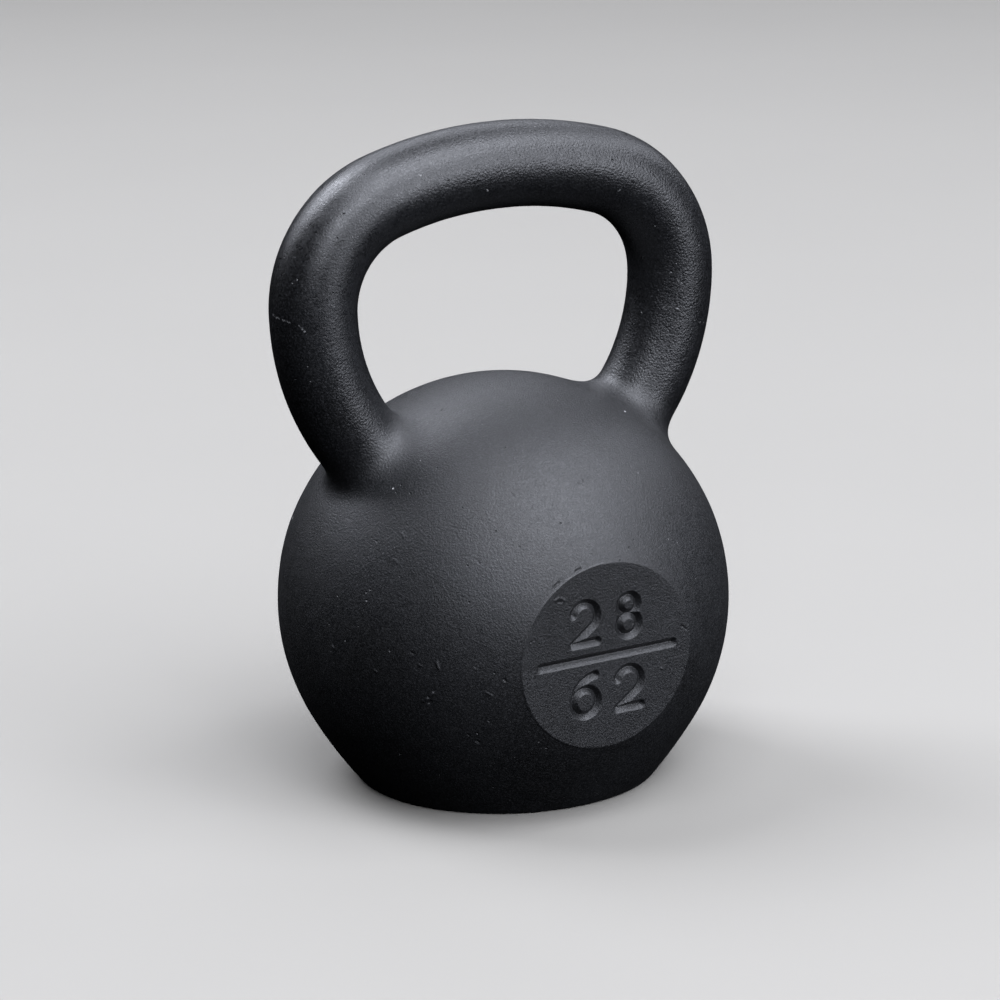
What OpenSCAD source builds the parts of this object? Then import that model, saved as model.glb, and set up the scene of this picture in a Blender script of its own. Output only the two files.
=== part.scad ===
// Kettlebell: an iron ball with a flat base and a flat number face, and a bent round handle
// whose two ends sit in blind sockets in the ball and are held by a fillet weld at each foot.
// Millimetres. The origin is the centre of the flat base, +Z is up, the handle's loop lies in
// the XZ plane and the number face looks towards -Y.

/* [Ball] */
// Diameter of the ball
ball_d = 191; // [180:1:200]
// Height of the ball's centre above the base
ball_z = 75.5; // [72:0.5:79]
// Angle below the ball's equator at which its side straightens out
skirt_start = 29; // [25:1:34]
// Radius of the straighter side that runs down to the base
skirt_r = 195; // [170:5:230]
// Radius of the edge round the flat base
base_edge_r = 3; // [2:0.5:5]

/* [Handle] */
// Diameter of the round bar
bar_d = 36; // [33:0.5:38]
// Overall height, from the base to the top of the handle
overall_h = 278; // [272:0.5:284]
// Radius of the bar's centreline along the top
crown_r = 180; // [165:5:200]
// Radius of the centreline at each top corner
corner_r = 47; // [45:1:51]
// Radius of the centreline of each leg
leg_r = 92; // [89:1:97]
// Length of each handle end inside the ball
spigot_l = 24; // [18:1:28]
// Gap between a handle end and its socket
socket_gap = 0.15; // [0.1:0.05:0.3]

/* [Foot welds] */
// Radius of the hollow face of the weld
weld_r = 8; // [5:0.5:10]
// Height of the weld's edge above the bar and the ball
weld_toe = 0.4; // [0.3:0.1:0.8]

/* [Number face] */
// Diameter of the flat number face
face_d = 79; // [72:1:84]
// Downward tilt of the number face
face_tilt = 2.6; // [0:0.1:4]
// Height of the numerals
digit_h = 20; // [16:1:22]
// Width of a numeral's line
stroke_w = 3.2; // [2:0.2:3.6]
// Gap between two numerals of a row
digit_gap = 6; // [4:0.5:8]
// Distance of each row's middle from the divider
row_offset = 15.5; // [14:0.5:17]
// Length of the divider between the two rows
divider_l = 65; // [50:1:68]
// Width of the divider
divider_w = 3.4; // [2:0.2:4]
// Depth of the engraving
mark_depth = 2.0; // [0.8:0.1:2.5]
// Turn of the whole marking about the middle of the face
mark_turn = 0.8; // [-2:0.1:2]

/* [Hidden] */
$fn = 240;

ball_coat = "#2b2c31";
handle_coat = "#33343a";
weld_coat = "#2e2f34";

ball_r = ball_d / 2;
bar_r = bar_d / 2;

// Side of the ball: the arc's centre lies on the line through the ball's centre and the
// point where the side starts, so the two arcs meet smoothly.
skirt_c = (ball_r - skirt_r) * [cos(skirt_start), -sin(skirt_start)] + [0, ball_z];
skirt_top_z = ball_z - ball_r * sin(skirt_start);
// Centre of the base edge's arc, inside the side arc and resting on the base plane
base_edge_slope = asin((skirt_c.y - base_edge_r) / (skirt_r - base_edge_r));
base_edge_c = [skirt_c.x + (skirt_r - base_edge_r) * cos(base_edge_slope), base_edge_r];

// Handle's centreline in the XZ plane: one arc along the top, one at each corner and one
// down each leg, each starting in the direction in which the one before it ends. The top arc
// ends where a radius leans 7 across for 24 up, 25 along the slope, and a leg starts upright.
crown_lean = [7, 24] / 25;
crown_slope = asin(crown_lean.x);
leg_start_slope = 90;
grip_z = overall_h - bar_r;
crown_c = [0, grip_z - crown_r];
corner_c = crown_c + (crown_r - corner_r) * crown_lean;
leg_c = corner_c + [corner_r - leg_r, 0];
// Where a leg's centreline meets the ball: the crossing of two circles
legs_apart = norm([leg_c.x, leg_c.y - ball_z]);
legs_bearing = atan2(leg_c.x, leg_c.y - ball_z);
foot_swing = acos((legs_apart ^ 2 + ball_r ^ 2 - leg_r ^ 2) / (2 * legs_apart * ball_r));
foot_bearing = legs_bearing + foot_swing;
foot = [ball_r * sin(foot_bearing), ball_z + ball_r * cos(foot_bearing)];
foot_slope = 90 + atan2(leg_c.y - foot.y, foot.x - leg_c.x);
spigot_slope = foot_slope + spigot_l / leg_r * 180 / PI;
socket_slope = spigot_slope + socket_gap / leg_r * 180 / PI;
// How far above the foot the socket's cutter and the weld's cutter begin, in degrees of leg
above_foot = 15;
// How far the top arc and the corner arcs run past their common end before they are cut there
arc_spare = 10;

// Weld: its hollow face is an arc that keeps the toe's height from the bar and the ball
weld_c_r = bar_r + weld_toe + weld_r;
weld_c_h = sqrt((ball_r + weld_toe + weld_r) ^ 2 - weld_c_r ^ 2);
weld_bite = 2;

face_dist = sqrt(ball_r ^ 2 - (face_d / 2) ^ 2);
overlap = 1;

// ---- ball ----------------------------------------------------------------------------

// Half section of the ball, with +X as the radius and +Y as the height
module ball_profile() {
    intersection() {
        translate([0, base_edge_c.y]) square([ball_r, ball_z + ball_r]);
        union() {
            intersection() {
                translate([0, ball_z]) circle(r = ball_r);
                translate([0, skirt_top_z]) square(2 * ball_r);
            }
            intersection() {
                translate(skirt_c) circle(r = skirt_r);
                square([ball_r, skirt_top_z]);
            }
        }
    }
    base_edge_profile();
}

// The lowest slice of the section, with its rounded edge
module base_edge_profile() {
    square([base_edge_c.x, base_edge_r]);
    intersection() {
        translate(base_edge_c) circle(r = base_edge_r);
        translate([base_edge_c.x, 0]) square(base_edge_r);
    }
}

module ball_blank() {
    rotate_extrude() ball_profile();
}

// Puts its children on the number face: X to the right, Y up the face, Z out of it
module on_face() {
    translate([0, 0, ball_z])
        rotate([face_tilt, 0, 0])
            translate([0, -face_dist, 0])
                rotate([90, 0, 0])
                    children();
}

module ball() {
    color(ball_coat)
    difference() {
        ball_blank();
        on_face() translate([-ball_r, -ball_r, 0]) cube(2 * ball_r);
        on_face() translate([0, 0, -mark_depth])
            linear_extrude(mark_depth + overlap) marking();
        for (side = [0, 1]) mirror([side, 0, 0]) socket();
    }
}

module socket() {
    leg_arc(bar_r + socket_gap, foot_slope - above_foot, socket_slope);
}

// ---- numerals ------------------------------------------------------------------------

// A numeral is centred on its own origin. line_h and line_w are half of the height and half
// of the width of the path that the middle of the stroke follows.
digit_w = digit_h * 0.72;
line_h = (digit_h - stroke_w) / 2;
line_w = (digit_w - stroke_w) / 2;
two_tip_angle = 165;
six_tip_angle = 96;
eight_lower_part = 0.53;

module marking() {
    rotate(mark_turn) {
        divider_reach = (divider_l - divider_w) / 2;
        round_line([-divider_reach, 0], [divider_reach, 0], divider_w);
        translate([-(digit_w + digit_gap) / 2, row_offset]) digit_two();
        translate([(digit_w + digit_gap) / 2, row_offset]) digit_eight();
        translate([-(digit_w + digit_gap) / 2, -row_offset]) digit_six();
        translate([(digit_w + digit_gap) / 2, -row_offset]) digit_two();
    }
}

// A straight line with round ends
module round_line(from, to, width = stroke_w) {
    run = to - from;
    translate(from) circle(d = width);
    translate(to) circle(d = width);
    translate(from) rotate(atan2(run.y, run.x))
        translate([0, -width / 2]) square([norm(run), width]);
}

module ring(radius) {
    difference() {
        circle(r = radius + stroke_w / 2);
        circle(r = radius - stroke_w / 2);
    }
}

// A part of a ring with round ends, from one angle to a larger one
module ring_line(centre, radius, from, to) {
    // The part is cut out by a fan of four triangles that reach well past the ring
    step = (to - from) / 4;
    reach = 2 * (radius + stroke_w) / cos(step);
    translate(centre) {
        intersection() {
            ring(radius);
            polygon([[0, 0], for (i = [0:4]) reach * [cos(from + i * step), sin(from + i * step)]]);
        }
        for (a = [from, to]) rotate(a) translate([radius, 0]) circle(d = stroke_w);
    }
}

module digit_two() {
    bowl_c = [0, line_h - line_w];
    heel = [-line_w, -line_h];
    to_bowl = bowl_c - heel;
    // The slanting line leaves the bowl at a tangent
    slant = atan2(to_bowl.y, to_bowl.x) - asin(line_w / norm(to_bowl));
    leave = bowl_c + line_w * [cos(slant - 90), sin(slant - 90)];
    ring_line(bowl_c, line_w, slant - 90, two_tip_angle);
    round_line(heel, leave);
    round_line(heel, [line_w, -line_h]);
}

module digit_eight() {
    lower_r = line_h * eight_lower_part;
    upper_r = line_h - lower_r;
    translate([0, lower_r - line_h]) ring(lower_r);
    translate([0, line_h - upper_r]) ring(upper_r);
}

module digit_six() {
    bowl_c = [0, line_w - line_h];
    back_r = line_h - bowl_c.y;
    translate(bowl_c) ring(line_w);
    ring_line([back_r - line_w, bowl_c.y], back_r, six_tip_angle, 180);
}

// ---- handle --------------------------------------------------------------------------

// An arc of round bar in the XZ plane. The slopes are those of its centreline, measured
// clockwise from +X, at the start and at the end.
module bar_arc(centre, radius, bar_radius, from, to) {
    translate([centre.x, 0, centre.y])
        rotate([90, 0, 0])
            rotate_extrude(start = 90 - to, angle = to - from)
                translate([radius, 0]) circle(r = bar_radius);
}

module leg_arc(bar_radius, from, to) {
    bar_arc(leg_c, leg_r, bar_radius, from, to);
}

// A wedge that holds the top arc and ends where the corner arcs begin. Both are cut by it, so
// that their end faces lie in one plane and they join as one solid.
module crown_wedge() {
    reach = 2 * crown_r;
    translate([0, 0, crown_c.y])
        rotate([90, 0, 0])
            translate([0, 0, -bar_d])
                linear_extrude(2 * bar_d)
                    polygon([[0, 0], reach * [-crown_lean.x, crown_lean.y], reach * crown_lean]);
}

module handle() {
    color(handle_coat) {
        intersection() {
            bar_arc(crown_c, crown_r, bar_r, -crown_slope - arc_spare, crown_slope + arc_spare);
            crown_wedge();
        }
        for (side = [0, 1]) mirror([side, 0, 0]) {
            difference() {
                bar_arc(corner_c, corner_r, bar_r, crown_slope - arc_spare, leg_start_slope);
                crown_wedge();
            }
            leg_arc(bar_r, leg_start_slope, spigot_slope);
        }
    }
}

// ---- foot welds ----------------------------------------------------------------------

// Half section of the weld about the line from the ball's centre through the foot
module weld_profile() {
    difference() {
        intersection() {
            translate([bar_r - weld_bite, 0]) square([weld_c_r - bar_r + weld_bite, weld_c_h]);
            difference() {
                polygon([[0, 0], 1.2 * [weld_c_r, weld_c_h], [0, 1.2 * weld_c_h]]);
                circle(r = ball_r - weld_bite);
            }
        }
        translate([weld_c_r, weld_c_h]) circle(r = weld_r);
    }
}

module weld() {
    difference() {
        translate([0, 0, ball_z]) rotate([0, foot_bearing, 0]) rotate_extrude() weld_profile();
        ball_blank();
        leg_arc(bar_r, foot_slope - above_foot, spigot_slope);
    }
}

module weld_left() {
    color(weld_coat) mirror([1, 0, 0]) weld();
}

module weld_right() {
    color(weld_coat) weld();
}

ball();
handle();
weld_left();
weld_right();
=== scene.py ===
"""The looks of the kettlebell: the ball, the handle and the weld round each foot, under one
black powder coat.

Each piece is a fine closed mesh on the CAD model's own surfaces. The handle and the ball each
run on beneath the welds, and a weld shares its two edges with them point for point, so the
coat looks unbroken. Lengths are metres in the row frame: the origin is the middle of the
flat base, +Z is up and the number face looks towards -Y.
"""

import math

import bpy
import numpy as np
from mathutils import Matrix, Vector, geometry, kdtree, noise


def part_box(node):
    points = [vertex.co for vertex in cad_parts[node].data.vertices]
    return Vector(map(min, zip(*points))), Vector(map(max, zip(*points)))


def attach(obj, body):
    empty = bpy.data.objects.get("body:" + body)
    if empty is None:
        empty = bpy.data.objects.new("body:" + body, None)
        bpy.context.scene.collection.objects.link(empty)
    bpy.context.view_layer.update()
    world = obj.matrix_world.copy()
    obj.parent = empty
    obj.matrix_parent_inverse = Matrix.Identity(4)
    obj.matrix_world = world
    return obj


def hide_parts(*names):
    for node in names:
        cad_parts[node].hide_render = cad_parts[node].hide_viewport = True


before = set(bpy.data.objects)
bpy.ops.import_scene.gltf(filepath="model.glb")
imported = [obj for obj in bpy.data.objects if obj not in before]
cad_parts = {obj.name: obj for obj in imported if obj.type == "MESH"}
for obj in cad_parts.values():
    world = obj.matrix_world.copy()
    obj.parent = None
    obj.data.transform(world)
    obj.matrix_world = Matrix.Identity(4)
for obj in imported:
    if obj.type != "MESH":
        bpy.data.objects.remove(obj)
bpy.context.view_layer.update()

MM = 0.001
FULL_TURN = 2 * math.pi

# ---- sizes -----------------------------------------------------------------------------

BALL_LO, BALL_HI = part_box("ball")
HANDLE_LO, HANDLE_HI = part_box("handle")

# Ball: a sphere whose side straightens out below SKIRT_START and ends in a rounded base edge
BALL_R = (BALL_HI.x - BALL_LO.x) / 2
BALL_C = np.array([0, 0, BALL_HI.z - BALL_R])
SKIRT_START = math.radians(29)
SKIRT_R = 195 * MM
BASE_EDGE_R = 3 * MM

# Handle: a round bar along one crown arc, two corner arcs and two leg arcs
BAR_R = (HANDLE_HI.y - HANDLE_LO.y) / 2
GRIP_Z = HANDLE_HI.z - BAR_R
CROWN_R = 180 * MM
CROWN_END = math.asin(7 / 25)
CORNER_R = 47 * MM
LEG_R = 92 * MM
SPIGOT_L = 23 * MM

# Number face: a flat disc, slightly proud of the ball round most of its rim
FACE_R = 39.5 * MM
FACE_TILT = math.radians(2.6)
FACE_PROUD = 0.2 * MM
RIM_ROUNDING = 0.45 * MM

# Numerals and the divider; SIX_TIP is where the hook of the 6 ends, in degrees
DIGIT_H = 20 * MM
DIGIT_W = 0.72 * DIGIT_H
STROKE_W = 3.2 * MM
DIGIT_GAP = 6 * MM
ROW_OFFSET = 15.5 * MM
DIVIDER_L = 65 * MM
DIVIDER_W = 3.4 * MM
MARK_DEPTH = 2.0 * MM
MARK_TURN = math.radians(0.8)
SIX_TIP = 96

# The walls of the strokes slope down from this far outside their edges, over this width
WALL_TOP = 0.4 * MM
WALL_RUN = 1.9 * MM

# Weld: how far it reaches up the bar and out over the ball, inside the loop and outside it,
# and how much further at the front and the back
WELD_REACH_INNER = 16 * MM
WELD_REACH_OUTER = 10 * MM
WELD_REACH_MORE = 3 * MM
WELD_SINK = 1.5 * MM

# Meshes
AROUND = 192
HANDLE_ROWS = 500
SPIGOT_ROWS = 5
WELD_ROWS = 30
BALL_STEP = 1.42 * MM
FACE_STEP = 0.62 * MM
FINE_STEP = 0.3 * MM

# Rings of points at the rim of the number face: the spacing along a ring and between rings,
# and where they start and end. From RIM_CLEAR outwards each ring is coarser than the last.
RIM_STEP = 0.5 * MM
RIM_GAP = 0.23 * MM
RIM_INNER = FACE_R - 1.0 * MM
RIM_OUTER = FACE_R + 1.3 * MM
RIM_CLEAR = FACE_R + 1.7 * MM
FIRST_STEP = 0.55 * MM
STEP_GROWTH = 1.22


# ---- small helpers -----------------------------------------------------------------------

def unit(vectors):
    return vectors / np.linalg.norm(vectors, axis=-1, keepdims=True)


def smooth_step(low, high, values):
    """0 below low and 1 above high, with a smooth rise between them."""
    t = np.clip((values - low) / (high - low), 0, 1)
    return t * t * (3 - 2 * t)


def ripple(points, size, octaves=1):
    """Smooth noise from about -1 to 1 whose bumps are about size across."""
    total = np.zeros(len(points))
    for octave in range(octaves):
        shift = 31.7 * (octave + 1)
        places = (points * (2 ** octave / size) + shift).tolist()
        total += np.fromiter(map(noise.noise, places), float, len(points)) / 2 ** octave
    return total * 1.6


def vertex_normals(points, faces):
    """Smooth normals of a mesh whose faces all have three or all have four corners."""
    first, second, third = points[faces[:, 0]], points[faces[:, 1]], points[faces[:, 2]]
    across = np.cross(third - first, points[faces[:, -1]] - second)
    total = np.zeros_like(points)
    for corner in range(faces.shape[1]):
        np.add.at(total, faces[:, corner], across)
    return unit(total)


# ---- the ball's shape ----------------------------------------------------------------------

def arc_points(centre, radius, start, end, count):
    """Points (radius from the axis, height) along an arc; angles are measured below +X."""
    angles = np.linspace(start, end, count)
    return centre + radius * np.stack([np.cos(angles), -np.sin(angles)], axis=1)


def ball_profile():
    """The ball's half section from its top to the middle of its base."""
    middle = np.array([0, BALL_C[2]])
    start_way = np.array([math.cos(SKIRT_START), -math.sin(SKIRT_START)])
    skirt_c = middle + (BALL_R - SKIRT_R) * start_way
    edge_slope = math.asin((skirt_c[1] - BASE_EDGE_R) / (SKIRT_R - BASE_EDGE_R))
    edge_c = np.array([skirt_c[0] + (SKIRT_R - BASE_EDGE_R) * math.cos(edge_slope), BASE_EDGE_R])
    sphere = arc_points(middle, BALL_R, -math.pi / 2, SKIRT_START, 600)
    skirt = arc_points(skirt_c, SKIRT_R, SKIRT_START, edge_slope, 200)[1:]
    edge = arc_points(edge_c, BASE_EDGE_R, edge_slope, math.pi / 2, 60)[1:]
    base = np.stack([np.linspace(edge[-1, 0], 0, 400), np.zeros(400)], axis=1)[1:]
    return np.concatenate([sphere, skirt, edge, base]), edge_c, edge_slope


PROFILE, EDGE_C, EDGE_SLOPE = ball_profile()
PROFILE_DROP = np.arctan2(BALL_C[2] - PROFILE[:, 1], PROFILE[:, 0])
PROFILE_REACH = np.hypot(PROFILE[:, 0], BALL_C[2] - PROFILE[:, 1])


def on_ball(directions):
    """The points of the ball's plain outline in the given directions from its centre."""
    drop = np.arcsin(np.clip(-directions[:, 2], -1, 1))
    return BALL_C + directions * np.interp(drop, PROFILE_DROP, PROFILE_REACH)[:, None]


# ---- the number face -----------------------------------------------------------------------

FACE_RIGHT = np.array([1, 0, 0])
FACE_UP = np.array([0, -math.sin(FACE_TILT), math.cos(FACE_TILT)])
FACE_OUT = np.array([0, -math.cos(FACE_TILT), -math.sin(FACE_TILT)])
FACE_DIST = math.sqrt(BALL_R ** 2 - FACE_R ** 2)


def rim_radius(places):
    """Where the rim stands in each direction: wider, so with a taller step, on the left."""
    right = (1 - np.cos(np.angle(places) - math.radians(155))) / 2
    waver = ripple(np.stack([places.real, places.imag, 0 * right], axis=1), 9 * MM, 2)
    return FACE_R + (0.38 - 0.62 * right + 0.07 * waver) * MM


def face_height(places):
    """Height of the ball's skin over the face's plane, at complex places right + 1j * up."""
    away = np.abs(places)
    sphere = np.sqrt(BALL_R ** 2 - away ** 2) - FACE_DIST
    edge = rim_radius(places)
    inside = smooth_step(-RIM_ROUNDING / 2, RIM_ROUNDING / 2, edge - away)
    height = sphere + (FACE_PROUD - sphere) * inside
    return height - MARK_DEPTH * np.clip((WALL_TOP - mark_edge(places)) / WALL_RUN, 0, 1)


def from_face(places):
    """Points in space for places on the face."""
    flat = places.real[:, None] * FACE_RIGHT + places.imag[:, None] * FACE_UP
    return BALL_C + flat + (FACE_DIST + face_height(places))[:, None] * FACE_OUT


def face_directions(places):
    """Directions from the ball's centre to places on the face's plane."""
    flat = places.real[:, None] * FACE_RIGHT + places.imag[:, None] * FACE_UP
    return unit(flat + FACE_DIST * FACE_OUT)


# ---- numerals ------------------------------------------------------------------------------

LINE_H = (DIGIT_H - STROKE_W) / 2
LINE_W = (DIGIT_W - STROKE_W) / 2


def line_distance(places, start, end):
    run = end - start
    share = np.clip(((places - start) * np.conj(run)).real / abs(run) ** 2, 0, 1)
    return np.abs(places - start - share * run)


def arc_distance(places, centre, radius, start=0, end=360):
    """Distance to an arc that runs anticlockwise from start to end, in degrees."""
    away = places - centre
    turned = (np.angle(away, deg=True) - start) % 360
    tips = [centre + radius * np.exp(1j * math.radians(a)) for a in (start, end)]
    to_tips = np.minimum(np.abs(places - tips[0]), np.abs(places - tips[1]))
    return np.where(turned <= end - start, np.abs(np.abs(away) - radius), to_tips)


def digit_two(places):
    bowl = 1j * (LINE_H - LINE_W)
    heel = -LINE_W - 1j * LINE_H
    to_bowl = bowl - heel
    slant = np.angle(to_bowl) - math.asin(LINE_W / abs(to_bowl))
    leave = bowl + LINE_W * np.exp(1j * (slant - math.pi / 2))
    return np.minimum.reduce([
        arc_distance(places, bowl, LINE_W, math.degrees(slant) - 90, 165),
        line_distance(places, heel, leave),
        line_distance(places, heel, LINE_W - 1j * LINE_H),
    ])


def digit_eight(places):
    lower_r = 0.53 * LINE_H
    upper_r = LINE_H - lower_r
    return np.minimum(
        arc_distance(places, 1j * (lower_r - LINE_H), lower_r),
        arc_distance(places, 1j * (LINE_H - upper_r), upper_r),
    )


def digit_six(places):
    bowl = 1j * (LINE_W - LINE_H)
    back_r = LINE_H - bowl.imag
    return np.minimum(
        arc_distance(places, bowl, LINE_W),
        arc_distance(places, back_r - LINE_W + bowl, back_r, SIX_TIP, 180),
    )


def mark_edge(places):
    """Distance to the nearest edge of the engraved lines, less than 0 inside them."""
    turned = places * np.exp(-1j * MARK_TURN)
    column = (DIGIT_W + DIGIT_GAP) / 2
    row = 1j * ROW_OFFSET
    divider_end = (DIVIDER_L - DIVIDER_W) / 2
    divider = line_distance(turned, -divider_end + 0j, divider_end + 0j) - DIVIDER_W / 2
    numerals = np.minimum.reduce([
        digit_two(turned + column - row),
        digit_eight(turned - column - row),
        digit_six(turned + column + row),
        digit_two(turned - column + row),
    ]) - STROKE_W / 2
    return np.minimum(divider, numerals)


# ---- the handle's shape --------------------------------------------------------------------

CROWN_L = CROWN_R * CROWN_END
CORNER_L = CORNER_R * (math.pi / 2 - CROWN_END)
CROWN_C = np.array([0, GRIP_Z - CROWN_R])
CORNER_C = CROWN_C + (CROWN_R - CORNER_R) * np.array([math.sin(CROWN_END), math.cos(CROWN_END)])
LEG_C = CORNER_C + [CORNER_R - LEG_R, 0]


def handle_points(along, around):
    """Points and normals of the bar. along is the distance from the crown's middle, less than
    0 to the left, and around is the angle from the outside of the loop towards the back."""
    walk = np.abs(along)
    on_crown, on_corner = walk <= CROWN_L, walk <= CROWN_L + CORNER_L
    turn = np.select(
        [on_crown, on_corner],
        [walk / CROWN_R, CROWN_END + (walk - CROWN_L) / CORNER_R],
        math.pi / 2 + (walk - CROWN_L - CORNER_L) / LEG_R,
    )
    radius = np.select([on_crown, on_corner], [CROWN_R, CORNER_R], LEG_R)
    centre_x = np.select([on_crown, on_corner], [CROWN_C[0], CORNER_C[0]], LEG_C[0])
    centre_z = np.select([on_crown, on_corner], [CROWN_C[1], CORNER_C[1]], LEG_C[1])
    side = np.where(along < 0, -1, 1)
    out_x, out_z = np.sin(turn), np.cos(turn)
    normals = np.stack([
        side * out_x * np.cos(around), np.sin(around), out_z * np.cos(around)], axis=-1)
    middle = np.stack([
        side * (centre_x + radius * out_x), 0 * turn, centre_z + radius * out_z], axis=-1)
    return middle + BAR_R * normals, normals


def ball_crossing(around):
    """How far along the right leg the bar's surface enters the ball, for each angle around."""
    low = np.full_like(around, CROWN_L + CORNER_L)
    high = low + 1.1 * LEG_R
    for _ in range(40):
        middle = (low + high) / 2
        points = handle_points(middle, around)[0]
        outside = np.linalg.norm(points - BALL_C, axis=1) > BALL_R
        low, high = np.where(outside, middle, low), np.where(outside, high, middle)
    return low


COLUMNS = np.arange(AROUND) * FULL_TURN / AROUND
CROSSING = ball_crossing(COLUMNS)
WELD_REACH = (WELD_REACH_OUTER + WELD_REACH_MORE * np.sin(COLUMNS) ** 2
              + (WELD_REACH_INNER - WELD_REACH_OUTER) * (1 - np.cos(COLUMNS)) / 2)
WELD_TOP = CROSSING - WELD_REACH


# ---- relief of the coat --------------------------------------------------------------------

# The bar's coarser coat takes over between these heights over the ball
CHANGE_START = 1 * MM
CHANGE_END = 9 * MM


def handle_share(points):
    """0 on the ball, 1 on the bar, with the change in the welds."""
    gap = np.linalg.norm(points - BALL_C, axis=1) - BALL_R
    return smooth_step(CHANGE_START, CHANGE_END, gap)


def side_way(turn, rise):
    """Direction from the ball's centre: degrees from the front towards +X, and degrees up."""
    flat = math.cos(math.radians(rise))
    return np.array([math.sin(math.radians(turn)) * flat, -math.cos(math.radians(turn)) * flat,
                     math.sin(math.radians(rise))])


def face_way(right, up):
    """Direction from the ball's centre to a place on the number face, in millimetres."""
    return face_directions(np.array([(right + 1j * up) * MM]))[0]


# Flaws of the casting: the ends of each one's middle line, its half width and its height,
# which is less than 0 where it is a pit or a groove
FLAWS = [
    (side_way(-45.0, -0.3), side_way(-44.6, -1.7), 1.0 * MM, 0.35 * MM),
    (side_way(-49.0, -10.6), side_way(-48.0, -9.8), 1.1 * MM, 0.50 * MM),
    (side_way(-47.2, -9.0), side_way(-46.4, -8.2), 1.0 * MM, 0.50 * MM),
    (side_way(-47.6, -11.0), side_way(-47.2, -10.6), 1.1 * MM, -0.50 * MM),
    (side_way(-49.5, -1.2), side_way(-49.1, -1.4), 0.9 * MM, 0.25 * MM),
    (side_way(-51.6, 1.8), side_way(-51.0, 1.5), 0.8 * MM, -0.25 * MM),
    (side_way(-36.2, -21.6), side_way(-35.8, -22.0), 1.1 * MM, -0.55 * MM),
    (side_way(-38.5, -19.6), side_way(-38.2, -19.8), 0.8 * MM, -0.35 * MM),
    (side_way(-28.8, -4.2), side_way(-28.5, -4.6), 0.8 * MM, -0.35 * MM),
    (side_way(-75.6, -0.4), side_way(-75.2, -0.7), 0.9 * MM, 0.35 * MM),
    (side_way(-62.0, -4.1), side_way(-61.4, -4.4), 0.8 * MM, 0.30 * MM),
    (side_way(-35.9, -1.4), side_way(-35.4, -1.7), 0.8 * MM, 0.20 * MM),
    (side_way(-33.2, -7.6), side_way(-31.8, -8.4), 0.8 * MM, 0.22 * MM),
    (side_way(-68.3, 67.8), side_way(-67.8, 67.4), 0.8 * MM, -0.35 * MM),
    (side_way(-25.2, 42.0), side_way(-23.9, 40.5), 0.5 * MM, -0.14 * MM),
    (side_way(-35.5, 25.1), side_way(-34.3, 23.9), 0.5 * MM, -0.08 * MM),
    (side_way(-1.9, 43.0), side_way(-0.4, 42.1), 0.5 * MM, -0.25 * MM),
    (side_way(0.4, 43.9), side_way(0.1, 42.9), 0.4 * MM, -0.30 * MM),
    (side_way(-42.8, 32.8), side_way(-38.6, 32.3), 0.5 * MM, -0.05 * MM),
    (side_way(-57.6, 30.4), side_way(-56.7, 29.5), 0.9 * MM, 0.15 * MM),
    (side_way(-58.3, 23.6), side_way(-56.9, 23.0), 1.0 * MM, 0.15 * MM),
    (side_way(71.7, 53.6), side_way(71.9, 53.5), 0.7 * MM, -0.45 * MM),
    (side_way(74.2, 52.9), side_way(74.4, 52.8), 0.6 * MM, -0.45 * MM),
    (side_way(-18.9, 41.0), side_way(-18.6, 40.9), 0.6 * MM, -0.20 * MM),
    (side_way(-13.2, 49.5), side_way(-12.8, 49.4), 0.6 * MM, -0.20 * MM),
    (side_way(-24.0, 28.0), side_way(-23.7, 27.9), 0.6 * MM, -0.18 * MM),
    (side_way(128.0, 24.0), side_way(129.6, 23.2), 0.9 * MM, -0.40 * MM),
    (side_way(158.0, -8.0), side_way(158.4, -9.6), 0.9 * MM, 0.35 * MM),
    (side_way(-152.0, 12.0), side_way(-151.5, 12.3), 1.0 * MM, -0.45 * MM),
    (side_way(74.0, -14.0), side_way(75.2, -14.6), 0.8 * MM, -0.35 * MM),
    (face_way(-24.9, 32.8), face_way(-22.2, 34.9), 0.8 * MM, -0.50 * MM),
    (face_way(-14.6, 38.2), face_way(-12.6, 38.9), 0.8 * MM, -0.45 * MM),
    (face_way(-24.2, 27.4), face_way(-22.6, 28.2), 0.9 * MM, 0.22 * MM),
    (face_way(-21.4, 28.0), face_way(-19.8, 26.8), 0.9 * MM, 0.22 * MM),
    (face_way(-22.6, 26.6), face_way(-21.4, 26.4), 0.8 * MM, -0.22 * MM),
    (face_way(35.0, 7.0), face_way(37.2, 4.9), 0.5 * MM, -0.35 * MM),
    (face_way(25.4, -9.8), face_way(25.9, -10.1), 0.7 * MM, 0.35 * MM),
]


def away_from(directions, start, end):
    """Distance over the ball's skin from the line between two directions."""
    run = end - start
    share = np.clip((directions - start) @ run / (run @ run), 0, 1)
    return BALL_R * np.linalg.norm(directions - start - share[:, None] * run, axis=1)


def flaw_height(directions):
    return sum(height * smooth_step(half_width, 0, away_from(directions, start, end))
               for start, end, half_width, height in FLAWS)


def flaw_gap(directions):
    """Distance to the edge of the nearest flaw."""
    return np.minimum.reduce([away_from(directions, start, end) - half_width
                              for start, end, half_width, _ in FLAWS])


def coat_relief(points):
    """Height of the coat's unevenness: the same for every piece, so that edges meet."""
    bar = handle_share(points)
    waves = 0.10 * MM * ripple(points, 30 * MM)
    peel = 0.020 * MM * ripple(points, 1.4 * MM) + 0.020 * MM * ripple(points, 5 * MM)
    swell = 0.020 * MM * ripple(points, 6 * MM, 2) + flaw_height(unit(points - BALL_C))
    return waves + peel * bar + swell * (1 - bar)


# ---- meshes --------------------------------------------------------------------------------

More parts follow.
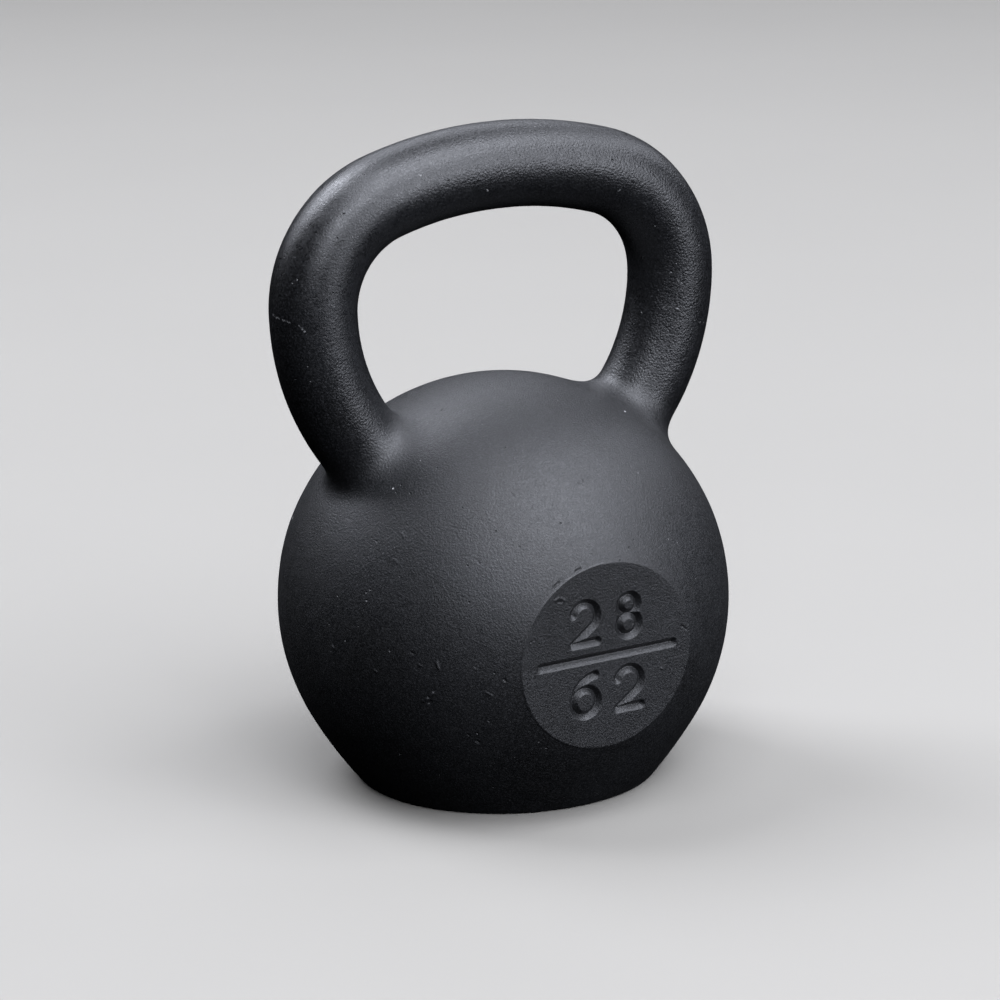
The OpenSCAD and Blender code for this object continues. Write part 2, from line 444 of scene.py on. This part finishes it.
def add_piece(name, node, slot, points, faces, normals, coat):
    """Makes a piece that stands for a CAD node."""
    mesh = bpy.data.meshes.new(name)
    mesh.from_pydata(points.tolist(), [], faces)
    mesh.shade_smooth()
    mesh.normals_split_custom_set_from_vertices(normals.tolist())
    mesh.materials.append(coat)
    piece = bpy.data.objects.new(name, mesh)
    bpy.context.scene.collection.objects.link(piece)
    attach(piece, "root")
    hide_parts(node)
    return piece


def grid_faces(rows, columns):
    """Four-sided faces between the rows of a grid that closes round each row."""
    row, column = np.meshgrid(np.arange(rows - 1), np.arange(columns), indexing="ij")
    beside = (column + 1) % columns
    corners = [row * columns + column, (row + 1) * columns + column,
               (row + 1) * columns + beside, row * columns + beside]
    return np.stack(corners, axis=-1).reshape(-1, 4)


def handle_mesh():
    """The bar's points, faces and normals, and the two rows where the welds start."""
    end = CROSSING.max() + SPIGOT_L
    spigot = np.linspace(end, WELD_TOP, SPIGOT_ROWS + 1)[:-1]
    seen = np.linspace(-WELD_TOP, WELD_TOP, HANDLE_ROWS)
    along = np.concatenate([-spigot, seen, spigot[::-1]])
    around = np.broadcast_to(COLUMNS, along.shape)
    points, outwards = handle_points(along.ravel(), around.ravel())
    points = points + coat_relief(points)[:, None] * outwards
    skin = grid_faces(len(along), AROUND)
    normals = vertex_normals(points, skin)
    first_end = list(range(AROUND))
    last_end = [index + (len(along) - 1) * AROUND for index in reversed(first_end)]
    edges = {-1: SPIGOT_ROWS * AROUND, 1: (SPIGOT_ROWS + HANDLE_ROWS - 1) * AROUND}
    rows = {side: slice(start, start + AROUND) for side, start in edges.items()}
    return points, [*skin.tolist(), first_end, last_end], normals, rows


def weld_toe(side):
    """Directions from the ball's centre to the weld's outer edge on the ball."""
    points, normals = handle_points(side * CROSSING, COLUMNS)
    up = unit(points - BALL_C)
    out = unit(normals - (normals * up).sum(axis=1, keepdims=True) * up)
    swing = (WELD_REACH / BALL_R)[:, None]
    return np.cos(swing) * up + np.sin(swing) * out


def ring_places(radius, step):
    count = max(6, round(FULL_TURN * radius / step))
    return radius * np.exp(1j * np.arange(count) * FULL_TURN / count)


def face_places():
    """Places on the face: an even lattice drawn onto the edges of the numerals, and rings at
    the rim, growing coarser outwards."""
    rim = np.arange(RIM_INNER, RIM_OUTER, RIM_GAP)
    rings = [ring_places(radius, RIM_STEP) for radius in rim]
    fine, coarse = face_lattice(FINE_STEP), face_lattice(FACE_STEP)
    fine, coarse = fine[needs_detail(fine)], coarse[~needs_detail(coarse)]
    for level in (WALL_TOP, WALL_TOP - WALL_RUN / 2, WALL_TOP - WALL_RUN):
        fine = drawn_to(fine, level)
    places = np.concatenate([fine, coarse])
    places = places[np.abs(places) < rim[0] - 0.3 * MM]
    return np.concatenate([thinned(places, 0.4 * FINE_STEP), *rings])


def face_lattice(step):
    count = int(FACE_R / step / math.sqrt(0.75)) + 1
    row, column = np.meshgrid(np.arange(-count, count), np.arange(-count, count))
    lattice = (column + 0.5 * (row % 2) + 1j * row * math.sqrt(0.75)).ravel() * step
    return lattice[np.abs(lattice) < FACE_R]


def needs_detail(places):
    """Whether each place on the face is close to an engraved line or to a flaw."""
    return np.minimum(mark_edge(places), flaw_gap(face_directions(places))) < 2 * FACE_STEP


def drawn_to(places, level):
    """Moves the places that are close to one distance from the numerals onto it."""
    probe = 0.01 * MM
    edge = mark_edge(places)
    slope = (mark_edge(places + probe) - edge) + 1j * (mark_edge(places + 1j * probe) - edge)
    slope /= np.maximum(np.abs(slope), 0.1 * probe)
    near = np.abs(edge - level) < FINE_STEP * 0.5
    return np.where(near, places + (level - edge) * slope, places)


def thinned(places, step):
    """Leaves out each place that is closer than step to one before it."""
    seen, kept = {}, []
    for index, place in enumerate(places.tolist()):
        cell = (int(place.real // step), int(place.imag // step))
        close = [other for dx in (-1, 0, 1) for dy in (-1, 0, 1)
                 for other in seen.get((cell[0] + dx, cell[1] + dy), ())]
        if all(abs(place - other) >= step for other in close):
            seen.setdefault(cell, []).append(place)
            kept.append(index)
    return places[kept]


def growing_rings():
    """Directions on rings round the face whose spacing grows to the ball's own."""
    radius, step = RIM_CLEAR, FIRST_STEP
    angle = math.asin(radius / BALL_R)
    rings = []
    while step < BALL_STEP:
        flat = ring_places(math.tan(angle) * FACE_DIST, step / math.cos(angle))
        rings.append(face_directions(flat))
        step *= STEP_GROWTH
        angle += step / BALL_R
    return np.concatenate(rings), angle


def even_directions(lowest):
    """Directions spread evenly over the ball, on a spiral from the top to a lowest height."""
    cover = FULL_TURN * BALL_R ** 2 * (1 - lowest)
    count = int(cover / (BALL_STEP ** 2 * math.sqrt(0.75)))
    step = np.arange(count) + 0.5
    height = 1 - (1 - lowest) * step / count
    turn = step * math.pi * (3 - math.sqrt(5))
    flat = np.sqrt(1 - height ** 2)
    return np.stack([flat * np.cos(turn), flat * np.sin(turn), height], axis=1)


def base_rings():
    """Directions to rings round the base edge and over the flat base, inwards."""
    slopes = np.linspace(EDGE_SLOPE, math.pi / 2, 7)
    edge = EDGE_C + BASE_EDGE_R * np.stack([np.cos(slopes), -np.sin(slopes)], axis=1)
    shares = np.array([0.985, 0.96, 0.92, 0.86, 0.78, 0.68, 0.56, 0.42, 0.27, 0.12])
    flat = np.stack([EDGE_C[0] * shares, 0 * shares], axis=1)
    rings = []
    for index, (radius, height) in enumerate([*edge, *flat]):
        step = BALL_STEP * (1 + 0.25 * max(0, index - len(edge)))
        ring = ring_places(radius, step)
        points = np.stack([ring.real, ring.imag, np.full(len(ring), height)], axis=1)
        rings.append(unit(points - BALL_C))
    return rings


def flaw_patches():
    """Directions close together over each flaw of the ball's round side."""
    patches = []
    for start, end, half_width, _ in FLAWS:
        middle = unit(start + end)
        reach = BALL_R * np.linalg.norm(end - start) / 2 + half_width + FINE_STEP
        right = unit(np.cross(middle, [0, 0, 1]))
        up = np.cross(right, middle)
        lattice = face_lattice(FINE_STEP)
        lattice = lattice[np.abs(lattice) < reach] / BALL_R
        patches.append(unit(middle + lattice.real[:, None] * right + lattice.imag[:, None] * up))
    patches = np.concatenate(patches)
    return patches[patches @ FACE_OUT < math.cos(math.asin(RIM_CLEAR / BALL_R))]


def clear_of(directions, others, gap):
    """The directions whose points on the ball are further than gap from all the others."""
    tree = kdtree.KDTree(len(others))
    for index, other in enumerate(others.tolist()):
        tree.insert(other, index)
    tree.balance()
    away = np.array([tree.find(place)[2] for place in directions.tolist()])
    return directions[away > gap / BALL_R]


def triangulated(directions):
    """Triangles over the whole ball but its base, by flattening it from below."""
    flat = 2 * directions[:, :2] / (1 + directions[:, 2:])
    made = geometry.delaunay_2d_cdt([Vector(p) for p in flat.tolist()], [], [], 0, 1e-9)
    source = [found[0] for found in made[3]]
    return np.array([[source[v] for v in face] for face in made[2]])


def ball_mesh():
    """The ball's points, faces and normals, and the two loops where the welds end."""
    toes = {side: weld_toe(side) for side in (-1, 1)}
    places = face_places()
    rings, clear_angle = growing_rings()
    base = base_rings()
    patches = flaw_patches()
    rings = clear_of(rings, patches, 0.5 * MM)
    margin = 0.3 * BALL_STEP / BALL_R
    spread = even_directions(base[0][:, 2].max() + margin)
    spread = spread[spread @ FACE_OUT < math.cos(clear_angle - margin)]
    spread = clear_of(spread, np.concatenate([toes[-1], toes[1], rings, *base]), 0.62 * BALL_STEP)
    spread = clear_of(spread, patches, 0.4 * BALL_STEP)
    directions = np.concatenate([
        toes[-1], toes[1], face_directions(places), rings, patches, spread, *base])
    points = on_ball(directions)
    first_place = 2 * AROUND
    points[first_place:first_place + len(places)] = from_face(places)
    triangles = triangulated(directions)
    points = points + coat_relief(points)[:, None] * vertex_normals(points, triangles)
    normals = vertex_normals(points, triangles)
    hole = list(range(len(points) - len(base[-1]), len(points)))
    loops = {-1: slice(0, AROUND), 1: slice(AROUND, 2 * AROUND)}
    return points, [*triangles.tolist(), hole[::-1]], normals, loops


def weld_mesh(side, bar_edge, ball_edge):
    """A closed ring whose outer skin runs from the bar to the ball, tangent to both. Each edge
    is given as the points and the normals of the row that it shares."""
    top, out = handle_points(side * WELD_TOP, COLUMNS)
    lower = handle_points(side * (WELD_TOP + 0.1 * MM), COLUMNS)[0]
    down = unit(lower - top)
    toe_up = weld_toe(side)
    toe = BALL_C + BALL_R * toe_up
    reach = ((toe - top) * toe_up).sum(axis=1) / (down * toe_up).sum(axis=1)
    corner = top + reach[:, None] * down
    controls = [top, (top + corner) / 2, corner, (toe + corner) / 2, toe]
    share = np.linspace(0, 1, WELD_ROWS)[:, None, None]
    skin = sum(math.comb(4, k) * (1 - share) ** (4 - k) * share ** k * control
               for k, control in enumerate(controls)).reshape(-1, 3)
    faces = grid_faces(WELD_ROWS, AROUND)[:, ::side]
    skin += coat_relief(skin)[:, None] * vertex_normals(skin, faces)
    normals = vertex_normals(skin, faces)
    for rows, edge in ((slice(0, AROUND), bar_edge), (slice(-AROUND, None), ball_edge)):
        skin[rows], normals[rows] = edge
    hidden = [toe - WELD_SINK * toe_up, corner - WELD_SINK * (out + toe_up),
              top - WELD_SINK * out]
    points = np.concatenate([skin, *hidden])
    normals = np.concatenate([normals, -toe_up, -toe_up, -out])
    faces = grid_faces(WELD_ROWS + len(hidden), AROUND)
    last = len(points) - AROUND
    closing = grid_faces(2, AROUND)
    closing = np.where(closing < AROUND, closing + last, closing - AROUND)
    return points, np.concatenate([faces, closing])[:, ::side].tolist(), normals


# ---- materials -----------------------------------------------------------------------------

class Nodes:
    """Short names for the shader nodes of one material."""

    def __init__(self, name):
        self.material = bpy.data.materials.new(name)
        self.material.use_nodes = True
        self.tree = self.material.node_tree
        self.shader = self.tree.nodes["Principled BSDF"]
        self.place = self.tree.nodes.new("ShaderNodeTexCoord").outputs["Object"]

    def add(self, kind, inputs=(), **settings):
        """A new node; inputs is a dict of values and of sockets to link."""
        node = self.tree.nodes.new(kind)
        for key, value in settings.items():
            setattr(node, key, value)
        for key, value in dict(inputs).items():
            if isinstance(value, bpy.types.NodeSocket):
                self.tree.links.new(value, node.inputs[key])
            else:
                node.inputs[key].default_value = value
        return node

    def noise(self, size, detail=2.0, roughness=0.5):
        """Noise from 0 to 1 with bumps about size across."""
        return self.add("ShaderNodeTexNoise", {
            "Vector": self.place, "Scale": 1 / size, "Detail": detail,
            "Roughness": roughness}).outputs["Fac"]

    def spread(self, value, low, high, to_low=0.0, to_high=1.0):
        """value stretched from one range to another, and held inside it."""
        return self.add("ShaderNodeMapRange", {
            "Value": value, "From Min": low, "From Max": high,
            "To Min": to_low, "To Max": to_high}).outputs["Result"]

    def maths(self, operation, first, second):
        return self.add("ShaderNodeMath", {0: first, 1: second}, operation=operation).outputs[0]

    def mix(self, share, first, second):
        """Mixes two colours."""
        node = self.add("ShaderNodeMix", data_type="RGBA")
        for socket, value in ((node.inputs[0], share), (node.inputs[6], first),
                              (node.inputs[7], second)):
            if isinstance(value, bpy.types.NodeSocket):
                self.tree.links.new(value, socket)
            else:
                socket.default_value = value
        return node.outputs[2]

    def vector(self, operation, first, second, output="Vector"):
        node = self.add("ShaderNodeVectorMath", {0: first, 1: second}, operation=operation)
        return node.outputs[output]

    def to_line(self, start, end):
        """Distance to the line between two points."""
        run = end - start
        off = self.vector("SUBTRACT", self.place, start)
        share = self.spread(self.vector("DOT_PRODUCT", off, run / (run @ run), "Value"), 0, 1)
        nearest = self.add("ShaderNodeVectorMath", {0: run, "Scale": share},
                           operation="SCALE").outputs["Vector"]
        return self.vector("DISTANCE", off, nearest, "Value")

    def bump(self, height, depth, below=None):
        """A bump of a real depth; below is the normal it adds to."""
        inputs = {"Height": height, "Distance": depth, "Strength": 1.0}
        if below is not None:
            inputs["Normal"] = below
        return self.add("ShaderNodeBump", inputs).outputs["Normal"]

    def connect(self, value, name):
        self.tree.links.new(value, self.shader.inputs[name])


def grey(value, blue=0.0):
    return (value * (1 - blue), value * (1 - 0.4 * blue), value * (1 + blue), 1)


# Tones of the coat, the wear and the bare metal
COAT_DARK = 0.003
COAT_PALE = 0.006
FLECK_TONE = 0.020
WEAR_TONE = 0.20
METAL_TONE = 0.45

# Depths of the coat's bumps
PEBBLE_DEPTH = 0.14 * MM
PINHOLE_DEPTH = 0.35 * MM
BALL_GRAIN = 0.25 * MM
BAR_GRAIN = 0.12 * MM

# Where the handle is worn smooth: distance along the bar in millimetres and degrees around it
WORN_SHOULDER = (-82, 300)

# Wear on the handle: the ends of each scratch or speck as distance along the bar from the
# crown's middle in millimetres and degrees around it, and its half width in millimetres
HANDLE_WEAR = [
    ((127.0, 234), (127.2, 252), 0.55),
    ((131.0, 272), (132.0, 294), 0.30),
    ((113.6, 249), (115.8, 256), 0.45),
    ((-110.0, 358), (-110.8, 343), 0.55),
    ((-110.8, 338), (-111.6, 326), 0.40),
    ((-112.4, 314), (-115.2, 305), 0.42),
    ((-12.0, 248), (-12.6, 250), 0.50),
    ((52.6, 249), (53.2, 251), 0.45),
    ((-40.6, 293), (-41.2, 295), 0.45),
    ((-25.4, 251), (-25.8, 253), 0.40),
    ((84.0, 120), (86.5, 138), 0.35),
    ((-64.0, 96), (-66.0, 104), 0.45),
]

# Chips on the ball that show bare metal: degrees from the front towards +X, degrees up, and
# radius in millimetres
BALL_CHIPS = [
    (-76.7, 61.5, 0.55),
    (-72.5, 62.0, 0.40),
    (58.5, 56.4, 0.60),
    (-65.8, 41.3, 0.45),
    (-114.7, 23.3, 0.90),
    (142.0, 38.0, 0.50),
]


def handle_place(along, around):
    points, _ = handle_points(np.array([along * MM]), np.radians([around]))
    return points[0]


def worn(nodes):
    """1 in the scratches and specks of the handle, with ragged edges, and 0 elsewhere."""
    ragged = nodes.spread(nodes.noise(1.2 * MM, 3), 0.3, 0.7, -0.35 * MM, 0.35 * MM)
    share = 0.0
    for start, end, half_width in HANDLE_WEAR:
        away = nodes.to_line(handle_place(*start), handle_place(*end))
        away = nodes.maths("ADD", away, ragged)
        share = nodes.maths("MAXIMUM", share, nodes.spread(away, half_width * MM, 0.0))
    return nodes.maths("MULTIPLY", share, nodes.spread(nodes.noise(1.1 * MM, 2), 0.42, 0.58))


def chipped(nodes):
    """1 in the chips of the ball and 0 elsewhere."""
    share = 0.0
    for turn, rise, radius in BALL_CHIPS:
        place = on_ball(side_way(turn, rise)[None])[0]
        away = nodes.vector("DISTANCE", nodes.place, place, "Value")
        chip = nodes.spread(away, radius * MM, 0.6 * radius * MM)
        share = nodes.maths("MAXIMUM", share, chip)
    return share


def pits(nodes):
    """Height of the coat round its pinholes: 0 in each one and 1 elsewhere."""
    away = nodes.add("ShaderNodeTexVoronoi", {
        "Vector": nodes.place, "Scale": 1 / (5 * MM)}).outputs["Distance"]
    chosen = nodes.spread(nodes.noise(11 * MM, 2), 0.52, 0.56, 0.5, 0.0)
    return nodes.spread(nodes.maths("ADD", away, chosen), 0.03, 0.11)


def powder_coat():
    """Black powder coat on cast iron: fine and dull on the ball, and a satin orange peel on
    the handle, with pale specks and the wear of hands and racks."""
    nodes = Nodes("black_powder_coat")
    nodes.shader.inputs["IOR"].default_value = 1.5
    nodes.shader.inputs["Specular IOR Level"].default_value = 0.56
    away = nodes.vector("DISTANCE", nodes.place, BALL_C, "Value")
    bar = nodes.spread(away, BALL_R + CHANGE_START, BALL_R + CHANGE_END)

    clouds = nodes.spread(nodes.noise(40 * MM, 4), 0.35, 0.65)
    colour = nodes.mix(clouds, grey(COAT_DARK, 0.06), grey(COAT_PALE, 0.08))
    fleck = nodes.spread(nodes.noise(0.8 * MM, 3, 0.6), 0.50, 0.72)
    colour = nodes.mix(fleck, colour, grey(FLECK_TONE, 0.06))
    dots = nodes.add("ShaderNodeTexVoronoi", {
        "Vector": nodes.place, "Scale": 1 / (7 * MM)}).outputs["Distance"]
    chosen = nodes.spread(nodes.noise(15 * MM, 2), 0.58, 0.62)
    speck = nodes.maths("MULTIPLY", nodes.spread(dots, 0.045, 0.025), chosen)
    speck = nodes.maths("MAXIMUM", speck, worn(nodes))
    colour = nodes.mix(speck, colour, grey(WEAR_TONE))
    nodes.connect(nodes.mix(chipped(nodes), colour, grey(METAL_TONE)), "Base Color")

    dull = nodes.spread(away, BALL_R + CHANGE_END / 2, BALL_R + 2 * CHANGE_END, 0.47, 0.36)
    patchy = nodes.spread(nodes.noise(4 * MM, 3), 0.3, 0.7, -0.04, 0.04)
    grainy = nodes.spread(nodes.noise(0.9 * MM, 3, 0.6), 0.35, 0.65, -0.10, 0.10)
    rough = nodes.maths("ADD", dull, nodes.maths("ADD", patchy, grainy))
    nodes.connect(rough, "Roughness")

    pebbles = nodes.add("ShaderNodeTexVoronoi", {
        "Vector": nodes.place, "Scale": 1 / (0.9 * MM), "Smoothness": 0.4},
        feature="SMOOTH_F1").outputs["Distance"]
    shoulder = nodes.vector("DISTANCE", nodes.place, handle_place(*WORN_SHOULDER), "Value")
    shoulder = nodes.spread(shoulder, 25 * MM, 75 * MM, 0.3, 1.0)
    coarse = nodes.maths("MULTIPLY", shoulder, nodes.spread(bar, 0, 1, 0.35, 1.0))
    peel = nodes.maths("MULTIPLY", nodes.maths("SUBTRACT", 1.0, pebbles), coarse)
    relief = nodes.bump(peel, PEBBLE_DEPTH)
    relief = nodes.bump(pits(nodes), PINHOLE_DEPTH, relief)
    grain = nodes.spread(bar, 0, 1, BALL_GRAIN, BAR_GRAIN)
    relief = nodes.bump(nodes.noise(0.8 * MM, 4, 0.65), grain, relief)
    nodes.connect(relief, "Normal")
    return nodes.material


def floor_paint():
    """Plain pale matt floor."""
    nodes = Nodes("floor_paint")
    tone = nodes.mix(nodes.noise(300 * MM, 2), grey(0.23, -0.07), grey(0.24, -0.07))
    nodes.connect(tone, "Base Color")
    nodes.shader.inputs["Roughness"].default_value = 0.85
    return nodes.material


# ---- the pieces ----------------------------------------------------------------------------

def add_pieces():
    coat = powder_coat()
    points, faces, normals, rows = handle_mesh()
    add_piece("handle_bar", "handle", "handle_coat", points, faces, normals, coat)
    bar_edges = {side: (points[row], normals[row]) for side, row in rows.items()}
    points, faces, normals, rows = ball_mesh()
    add_piece("ball_casting", "ball", "ball_coat", points, faces, normals, coat)
    for side, word in ((-1, "left"), (1, "right")):
        ball_edge = (points[rows[side]], normals[rows[side]])
        weld = weld_mesh(side, bar_edges[side], ball_edge)
        add_piece(f"foot_weld_{word}", f"weld_{word}", "weld_coat", *weld, coat)


# ---- studio --------------------------------------------------------------------------------

CAMERA_AZIMUTH = math.radians(-28.45)
CAMERA_ELEVATION = math.radians(14.98)
CAMERA_ROLL = math.radians(1.41)
CAMERA_DISTANCE = 1.6079
CAMERA_AIM_LEFT = 3.15 * MM
CAMERA_AIM_UP = 113.3 * MM
CAMERA_LENS = 134.9


def add_camera():
    """The camera looks at a point beside the base's middle, turned a little to the left."""
    flat = math.cos(CAMERA_ELEVATION)
    back = Vector((math.sin(CAMERA_AZIMUTH) * flat, -math.cos(CAMERA_AZIMUTH) * flat,
                   math.sin(CAMERA_ELEVATION)))
    level = Vector((math.cos(CAMERA_AZIMUTH), math.sin(CAMERA_AZIMUTH), 0))
    steep = back.cross(level)
    right = math.cos(CAMERA_ROLL) * level - math.sin(CAMERA_ROLL) * steep
    up = math.sin(CAMERA_ROLL) * level + math.cos(CAMERA_ROLL) * steep
    data = bpy.data.cameras.new("camera")
    data.lens = CAMERA_LENS
    data.clip_start, data.clip_end = 0.05, 20
    camera = bpy.data.objects.new("camera", data)
    place = CAMERA_DISTANCE * back - CAMERA_AIM_LEFT * right + CAMERA_AIM_UP * up
    camera.matrix_world = Matrix((right, up, back)).transposed().to_4x4()
    camera.location = place
    bpy.context.scene.collection.objects.link(camera)
    bpy.context.scene.camera = camera


def add_floor():
    """The floor shows in the picture but throws no light back, as if it were flagged off."""
    mesh = bpy.data.meshes.new("floor")
    half = 6
    mesh.from_pydata([(-half, -half, 0), (half, -half, 0), (half, half, 0), (-half, half, 0)],
                     [], [(0, 1, 2, 3)])
    mesh.materials.append(floor_paint())
    floor = bpy.data.objects.new("floor", mesh)
    floor.visible_diffuse = floor.visible_glossy = False
    bpy.context.scene.collection.objects.link(floor)


def add_light(name, turn, rise, size, power):
    """A soft square light that faces the middle of the kettlebell. turn is how far round it
    stands from the camera to the right and rise is its height, both in degrees."""
    data = bpy.data.lights.new(name, "AREA")
    data.size = size
    data.energy = power
    data.color = LIGHT_COLOUR
    azimuth = CAMERA_AZIMUTH + math.radians(turn)
    flat = math.cos(math.radians(rise))
    way = Vector((math.sin(azimuth) * flat, -math.cos(azimuth) * flat,
                  math.sin(math.radians(rise))))
    light = bpy.data.objects.new(name, data)
    light.location = LIGHT_DISTANCE * way + Vector((0, 0, HANDLE_HI.z / 2))
    light.rotation_euler = way.to_track_quat("Z", "Y").to_euler()
    bpy.context.scene.collection.objects.link(light)


def add_world(tone):
    """A pale backdrop that shows in the picture and lights nothing."""
    world = bpy.data.worlds.new("studio")
    bpy.context.scene.world = world
    reach = world.cycles_visibility
    reach.diffuse = reach.glossy = reach.transmission = reach.scatter = False
    world.use_nodes = True
    world.node_tree.nodes["Background"].inputs["Color"].default_value = grey(tone)


LIGHT_DISTANCE = 4.0
LIGHT_COLOUR = (0.87, 0.90, 1.0)

# Each soft light: degrees round from the camera to the right, degrees up, the length of its
# side in metres and its power in watts
LIGHTS = {
    "key": (40, 55, 2.4, 110),
    "right": (85, 55, 2.4, 105),
    "right_low": (60, 16, 2.4, 85),
    "front_low": (50, 12, 2.0, 40),
    "front": (8, 35, 2.2, 110),
    "side": (130, 34, 2.0, 35),
    "back": (180, 42, 2.4, 45),
    "back_left": (240, 56, 2.0, 165),
    "left_low": (240, 34, 2.0, 40),
    "overhead": (0, 78, 1.8, 65),
}
BACKDROP_TONE = 0.6


def add_studio():
    add_camera()
    add_floor()
    add_world(BACKDROP_TONE)
    for name, (turn, rise, size, power) in LIGHTS.items():
        add_light(name, turn, rise, size, power)
    bpy.context.scene.view_settings.view_transform = "Standard"


add_pieces()
add_studio()
